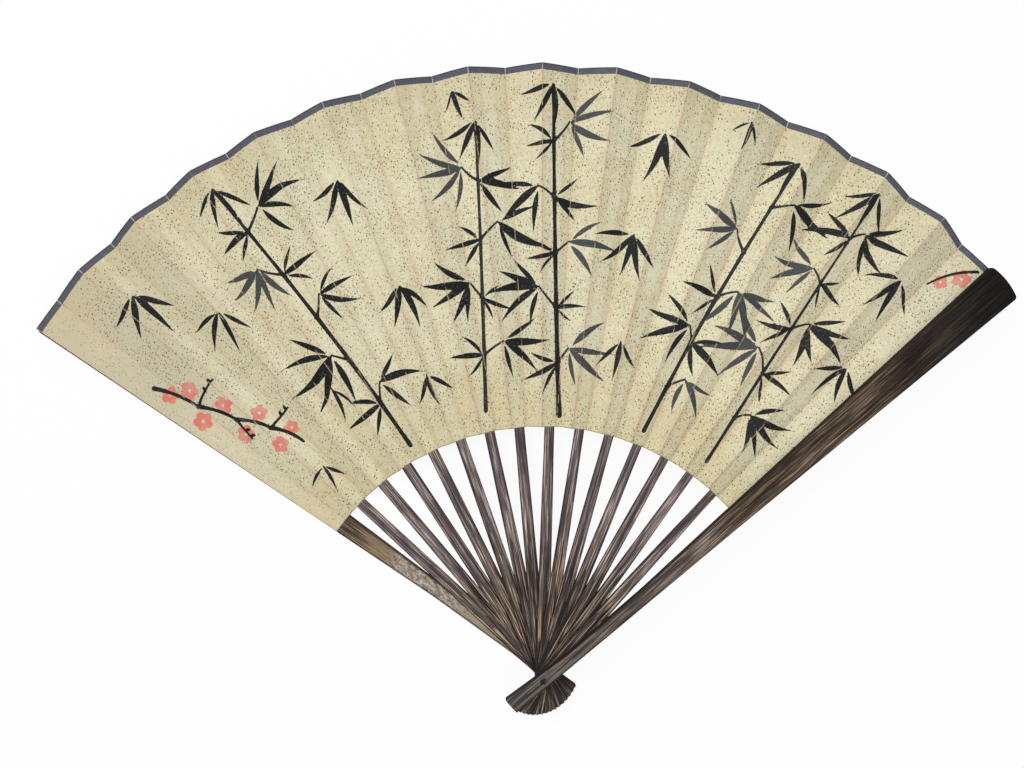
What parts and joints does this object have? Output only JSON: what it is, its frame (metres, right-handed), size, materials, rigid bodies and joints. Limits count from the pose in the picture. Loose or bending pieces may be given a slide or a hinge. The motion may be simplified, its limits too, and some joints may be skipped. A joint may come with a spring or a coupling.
{
  "type": "folding hand fan",
  "caption": "Folding hand fan, open: dark bamboo guards and ribs on one rivet, with a pleated, flecked paper leaf that has a dark bound edge.",
  "frame": {"origin": "on the rivet's axis, in the plane of the rear guard's back face, on which the fan lies", "axes": "+Z along the rivet, out of the painted side; +Y from the rivet through the middle of the open leaf; +X to the right, towards the front guard"},
  "size_m": [0.4749, 0.3175, 0.0204],
  "materials": {
    "dark_bamboo": "satin, dark stained bamboo with visible grain",
    "paper": "matt, flecked, aged",
    "rivet": "polished dark horn"
  },
  "bodies": {
    "base": {"rear_guard": "dark_bamboo", "pivot_pin": "rivet", "rear_end_panel": "paper"},
    "front_stick": {"front_guard": "dark_bamboo", "front_end_panel": "paper"},
    "stick_01": {"rib_01": "dark_bamboo"},
    "stick_02": {"rib_02": "dark_bamboo"},
    "stick_03": {"rib_03": "dark_bamboo"},
    "stick_04": {"rib_04": "dark_bamboo"},
    "stick_05": {"rib_05": "dark_bamboo"},
    "stick_06": {"rib_06": "dark_bamboo"},
    "stick_07": {"rib_07": "dark_bamboo"},
    "stick_08": {"rib_08": "dark_bamboo"},
    "stick_09": {"rib_09": "dark_bamboo"},
    "stick_10": {"rib_10": "dark_bamboo"},
    "stick_11": {"rib_11": "dark_bamboo"},
    "stick_12": {"rib_12": "dark_bamboo"},
    "stick_13": {"rib_13": "dark_bamboo"},
    "stick_14": {"rib_14": "dark_bamboo"},
    "pleat_01": {"rib_panel_01": "paper"},
    "pleat_02": {"rib_panel_02": "paper"},
    "pleat_03": {"rib_panel_03": "paper"},
    "pleat_04": {"rib_panel_04": "paper"},
    "pleat_05": {"rib_panel_05": "paper"},
    "pleat_06": {"rib_panel_06": "paper"},
    "pleat_07": {"rib_panel_07": "paper"},
    "pleat_08": {"rib_panel_08": "paper"},
    "pleat_09": {"rib_panel_09": "paper"},
    "pleat_10": {"rib_panel_10": "paper"},
    "pleat_11": {"rib_panel_11": "paper"},
    "pleat_12": {"rib_panel_12": "paper"},
    "pleat_13": {"rib_panel_13": "paper"},
    "pleat_14": {"rib_panel_14": "paper"},
    "crease_01": {"fold_panel_01": "paper"},
    "crease_02": {"fold_panel_02": "paper"},
    "crease_03": {"fold_panel_03": "paper"},
    "crease_04": {"fold_panel_04": "paper"},
    "crease_05": {"fold_panel_05": "paper"},
    "crease_06": {"fold_panel_06": "paper"},
    "crease_07": {"fold_panel_07": "paper"},
    "crease_08": {"fold_panel_08": "paper"},
    "crease_09": {"fold_panel_09": "paper"},
    "crease_10": {"fold_panel_10": "paper"},
    "crease_11": {"fold_panel_11": "paper"},
    "crease_12": {"fold_panel_12": "paper"},
    "crease_13": {"fold_panel_13": "paper"},
    "crease_14": {"fold_panel_14": "paper"},
    "crease_15": {"fold_panel_15": "paper"}
  },
  "joints": [
    {"name": "fold", "type": "hinge", "parent": "base", "child": "front_stick", "pos_m": [0, 0, 0.0162], "axis": [0, 0, 1], "range_deg": [0, 102]},
    {"name": "stick_01_turn", "type": "hinge", "parent": "base", "child": "stick_01", "pos_m": [0, 0, 0.00405], "axis": [0, 0, 1], "range_deg": [0, 6.8]},
    {"name": "stick_02_turn", "type": "hinge", "parent": "base", "child": "stick_02", "pos_m": [0, 0, 0.00495], "axis": [0, 0, 1], "range_deg": [0, 13.6]},
    {"name": "stick_03_turn", "type": "hinge", "parent": "base", "child": "stick_03", "pos_m": [0, 0, 0.00585], "axis": [0, 0, 1], "range_deg": [0, 20.4]},
    {"name": "stick_04_turn", "type": "hinge", "parent": "base", "child": "stick_04", "pos_m": [0, 0, 0.00675], "axis": [0, 0, 1], "range_deg": [0, 27.2]},
    {"name": "stick_05_turn", "type": "hinge", "parent": "base", "child": "stick_05", "pos_m": [0, 0, 0.00765], "axis": [0, 0, 1], "range_deg": [0, 34]},
    {"name": "stick_06_turn", "type": "hinge", "parent": "base", "child": "stick_06", "pos_m": [0, 0, 0.00855], "axis": [0, 0, 1], "range_deg": [0, 40.8]},
    {"name": "stick_07_turn", "type": "hinge", "parent": "base", "child": "stick_07", "pos_m": [0, 0, 0.00945], "axis": [0, 0, 1], "range_deg": [0, 47.6]},
    {"name": "stick_08_turn", "type": "hinge", "parent": "base", "child": "stick_08", "pos_m": [0, 0, 0.01035], "axis": [0, 0, 1], "range_deg": [0, 54.4]},
    {"name": "stick_09_turn", "type": "hinge", "parent": "base", "child": "stick_09", "pos_m": [0, 0, 0.01125], "axis": [0, 0, 1], "range_deg": [0, 61.2]},
    {"name": "stick_10_turn", "type": "hinge", "parent": "base", "child": "stick_10", "pos_m": [0, 0, 0.01215], "axis": [0, 0, 1], "range_deg": [0, 68]},
    {"name": "stick_11_turn", "type": "hinge", "parent": "base", "child": "stick_11", "pos_m": [0, 0, 0.01305], "axis": [0, 0, 1], "range_deg": [0, 74.8]},
    {"name": "stick_12_turn", "type": "hinge", "parent": "base", "child": "stick_12", "pos_m": [0, 0, 0.01395], "axis": [0, 0, 1], "range_deg": [0, 81.6]},
    {"name": "stick_13_turn", "type": "hinge", "parent": "base", "child": "stick_13", "pos_m": [0, 0, 0.01485], "axis": [0, 0, 1], "range_deg": [0, 88.4]},
    {"name": "stick_14_turn", "type": "hinge", "parent": "base", "child": "stick_14", "pos_m": [0, 0, 0.01575], "axis": [0, 0, 1], "range_deg": [0, 95.2]},
    {"name": "pleat_01_tilt", "type": "hinge", "parent": "stick_01", "child": "pleat_01", "pos_m": [-0.08645, 0.0889, 0.00405], "axis": [-0.6972, 0.7169, 0], "range_deg": [-23.3, 0]},
    {"name": "pleat_02_tilt", "type": "hinge", "parent": "stick_02", "child": "pleat_02", "pos_m": [-0.07531, 0.09851, 0.00495], "axis": [-0.6074, 0.7944, 0], "range_deg": [-23.3, 0]},
    {"name": "pleat_03_tilt", "type": "hinge", "parent": "stick_03", "child": "pleat_03", "pos_m": [-0.06312, 0.10673, 0.00585], "axis": [-0.509, 0.8607, 0], "range_deg": [-23.3, 0]},
    {"name": "pleat_04_tilt", "type": "hinge", "parent": "stick_04", "child": "pleat_04", "pos_m": [-0.05004, 0.11345, 0.00675], "axis": [-0.4035, 0.915, 0], "range_deg": [-23.3, 0]},
    {"name": "pleat_05_tilt", "type": "hinge", "parent": "stick_05", "child": "pleat_05", "pos_m": [-0.03625, 0.11858, 0.00765], "axis": [-0.2924, 0.9563, 0], "range_deg": [-23.3, 0]},
    {"name": "pleat_06_tilt", "type": "hinge", "parent": "stick_06", "child": "pleat_06", "pos_m": [-0.02196, 0.12204, 0.00855], "axis": [-0.1771, 0.9842, 0], "range_deg": [-23.3, 0]},
    {"name": "pleat_07_tilt", "type": "hinge", "parent": "stick_07", "child": "pleat_07", "pos_m": [-0.00735, 0.12378, 0.00945], "axis": [-0.0593, 0.9982, 0], "range_deg": [-23.3, 0]},
    {"name": "pleat_08_tilt", "type": "hinge", "parent": "stick_08", "child": "pleat_08", "pos_m": [0.00735, 0.12378, 0.01035], "axis": [0.0593, 0.9982, 0], "range_deg": [-23.3, 0]},
    {"name": "pleat_09_tilt", "type": "hinge", "parent": "stick_09", "child": "pleat_09", "pos_m": [0.02196, 0.12204, 0.01125], "axis": [0.1771, 0.9842, 0], "range_deg": [-23.3, 0]},
    {"name": "pleat_10_tilt", "type": "hinge", "parent": "stick_10", "child": "pleat_10", "pos_m": [0.03625, 0.11858, 0.01215], "axis": [0.2924, 0.9563, 0], "range_deg": [-23.3, 0]},
    {"name": "pleat_11_tilt", "type": "hinge", "parent": "stick_11", "child": "pleat_11", "pos_m": [0.05004, 0.11345, 0.01305], "axis": [0.4035, 0.915, 0], "range_deg": [-23.3, 0]},
    {"name": "pleat_12_tilt", "type": "hinge", "parent": "stick_12", "child": "pleat_12", "pos_m": [0.06312, 0.10673, 0.01395], "axis": [0.509, 0.8607, 0], "range_deg": [-23.3, 0]},
    {"name": "pleat_13_tilt", "type": "hinge", "parent": "stick_13", "child": "pleat_13", "pos_m": [0.07531, 0.09851, 0.01485], "axis": [0.6074, 0.7944, 0], "range_deg": [-23.3, 0]},
    {"name": "pleat_14_tilt", "type": "hinge", "parent": "stick_14", "child": "pleat_14", "pos_m": [0.08645, 0.0889, 0.01575], "axis": [0.6972, 0.7169, 0], "range_deg": [-23.3, 0]},
    {"name": "crease_01_fold", "type": "hinge", "parent": "base", "child": "crease_01", "pos_m": [-0.0944, 0.0804, 0.00345], "axis": [-0.7613, 0.6484, 0], "range_deg": [-165.59, 0], "deforming": ["fold_panel_01"]},
    {"name": "crease_02_fold", "type": "hinge", "parent": "pleat_01", "child": "crease_02", "pos_m": [-0.08369, 0.09148, 0.00253], "axis": [-0.6752, 0.7376, -0.013], "range_deg": [-128.6, 0], "deforming": ["fold_panel_02"]},
    {"name": "crease_03_fold", "type": "hinge", "parent": "pleat_02", "child": "crease_03", "pos_m": [-0.07227, 0.10075, 0.00343], "axis": [-0.5831, 0.8123, -0.013], "range_deg": [-128.6, 0], "deforming": ["fold_panel_03"]},
    {"name": "crease_04_fold", "type": "hinge", "parent": "pleat_03", "child": "crease_04", "pos_m": [-0.05983, 0.1086, 0.00433], "axis": [-0.4828, 0.8756, -0.013], "range_deg": [-128.6, 0], "deforming": ["fold_panel_04"]},
    {"name": "crease_05_fold", "type": "hinge", "parent": "pleat_04", "child": "crease_05", "pos_m": [-0.04655, 0.11492, 0.00523], "axis": [-0.3757, 0.9266, -0.013], "range_deg": [-128.6, 0], "deforming": ["fold_panel_05"]},
    {"name": "crease_06_fold", "type": "hinge", "parent": "pleat_05", "child": "crease_06", "pos_m": [-0.03262, 0.11962, 0.00613], "axis": [-0.2634, 0.9646, -0.013], "range_deg": [-128.6, 0], "deforming": ["fold_panel_06"]},
    {"name": "crease_07_fold", "type": "hinge", "parent": "pleat_06", "child": "crease_07", "pos_m": [-0.01823, 0.12264, 0.00703], "axis": [-0.1473, 0.989, -0.013], "range_deg": [-128.6, 0], "deforming": ["fold_panel_07"]},
    {"name": "crease_08_fold", "type": "hinge", "parent": "pleat_07", "child": "crease_08", "pos_m": [-0.00358, 0.12394, 0.00793], "axis": [-0.0292, 0.9995, -0.013], "range_deg": [-128.6, 0], "deforming": ["fold_panel_08"]},
    {"name": "crease_09_fold", "type": "hinge", "parent": "pleat_08", "child": "crease_09", "pos_m": [0.01112, 0.12349, 0.00883], "axis": [0.0894, 0.9959, -0.013], "range_deg": [-128.6, 0], "deforming": ["fold_panel_09"]},
    {"name": "crease_10_fold", "type": "hinge", "parent": "pleat_09", "child": "crease_10", "pos_m": [0.02567, 0.12131, 0.00973], "axis": [0.2067, 0.9783, -0.013], "range_deg": [-128.6, 0], "deforming": ["fold_panel_10"]},
    {"name": "crease_11_fold", "type": "hinge", "parent": "pleat_10", "child": "crease_11", "pos_m": [0.03985, 0.11741, 0.01063], "axis": [0.3211, 0.947, -0.013], "range_deg": [-128.6, 0], "deforming": ["fold_panel_11"]},
    {"name": "crease_12_fold", "type": "hinge", "parent": "pleat_11", "child": "crease_12", "pos_m": [0.05347, 0.11187, 0.01153], "axis": [0.4309, 0.9023, -0.013], "range_deg": [-128.6, 0], "deforming": ["fold_panel_12"]},
    {"name": "crease_13_fold", "type": "hinge", "parent": "pleat_12", "child": "crease_13", "pos_m": [0.06634, 0.10475, 0.01243], "axis": [0.5347, 0.8449, -0.013], "range_deg": [-128.6, 0], "deforming": ["fold_panel_13"]},
    {"name": "crease_14_fold", "type": "hinge", "parent": "pleat_13", "child": "crease_14", "pos_m": [0.07828, 0.09616, 0.01333], "axis": [0.631, 0.7757, -0.013], "range_deg": [-128.6, 0], "deforming": ["fold_panel_14"]},
    {"name": "crease_15_fold", "type": "hinge", "parent": "pleat_14", "child": "crease_15", "pos_m": [0.08911, 0.08621, 0.01423], "axis": [0.7184, 0.6955, -0.013], "range_deg": [-142.29, 0], "deforming": ["fold_panel_15"]}
  ],
  "couplings": [
    {"joint": "stick_01_turn", "follows": "fold", "ratio": 0.066667},
    {"joint": "stick_02_turn", "follows": "fold", "ratio": 0.13333},
    {"joint": "stick_03_turn", "follows": "fold", "ratio": 0.2},
    {"joint": "stick_04_turn", "follows": "fold", "ratio": 0.26667},
    {"joint": "stick_05_turn", "follows": "fold", "ratio": 0.33333},
    {"joint": "stick_06_turn", "follows": "fold", "ratio": 0.4},
    {"joint": "stick_07_turn", "follows": "fold", "ratio": 0.46667},
    {"joint": "stick_08_turn", "follows": "fold", "ratio": 0.53333},
    {"joint": "stick_09_turn", "follows": "fold", "ratio": 0.6},
    {"joint": "stick_10_turn", "follows": "fold", "ratio": 0.66667},
    {"joint": "stick_11_turn", "follows": "fold", "ratio": 0.73333},
    {"joint": "stick_12_turn", "follows": "fold", "ratio": 0.8},
    {"joint": "stick_13_turn", "follows": "fold", "ratio": 0.86667},
    {"joint": "stick_14_turn", "follows": "fold", "ratio": 0.93333},
    {"joint": "pleat_01_tilt", "follows": "fold", "ratio": -0.22843},
    {"joint": "pleat_02_tilt", "follows": "fold", "ratio": -0.22843},
    {"joint": "pleat_03_tilt", "follows": "fold", "ratio": -0.22843},
    {"joint": "pleat_04_tilt", "follows": "fold", "ratio": -0.22843},
    {"joint": "pleat_05_tilt", "follows": "fold", "ratio": -0.22843},
    {"joint": "pleat_06_tilt", "follows": "fold", "ratio": -0.22843},
    {"joint": "pleat_07_tilt", "follows": "fold", "ratio": -0.22843},
    {"joint": "pleat_08_tilt", "follows": "fold", "ratio": -0.22843},
    {"joint": "pleat_09_tilt", "follows": "fold", "ratio": -0.22843},
    {"joint": "pleat_10_tilt", "follows": "fold", "ratio": -0.22843},
    {"joint": "pleat_11_tilt", "follows": "fold", "ratio": -0.22843},
    {"joint": "pleat_12_tilt", "follows": "fold", "ratio": -0.22843},
    {"joint": "pleat_13_tilt", "follows": "fold", "ratio": -0.22843},
    {"joint": "pleat_14_tilt", "follows": "fold", "ratio": -0.22843},
    {"joint": "crease_01_fold", "follows": "fold", "ratio": -1.6234},
    {"joint": "crease_02_fold", "follows": "fold", "ratio": -1.2608},
    {"joint": "crease_03_fold", "follows": "fold", "ratio": -1.2608},
    {"joint": "crease_04_fold", "follows": "fold", "ratio": -1.2608},
    {"joint": "crease_05_fold", "follows": "fold", "ratio": -1.2608},
    {"joint": "crease_06_fold", "follows": "fold", "ratio": -1.2608},
    {"joint": "crease_07_fold", "follows": "fold", "ratio": -1.2608},
    {"joint": "crease_08_fold", "follows": "fold", "ratio": -1.2608},
    {"joint": "crease_09_fold", "follows": "fold", "ratio": -1.2608},
    {"joint": "crease_10_fold", "follows": "fold", "ratio": -1.2608},
    {"joint": "crease_11_fold", "follows": "fold", "ratio": -1.2608},
    {"joint": "crease_12_fold", "follows": "fold", "ratio": -1.2608},
    {"joint": "crease_13_fold", "follows": "fold", "ratio": -1.2608},
    {"joint": "crease_14_fold", "follows": "fold", "ratio": -1.2608},
    {"joint": "crease_15_fold", "follows": "fold", "ratio": -1.395}
  ]
}
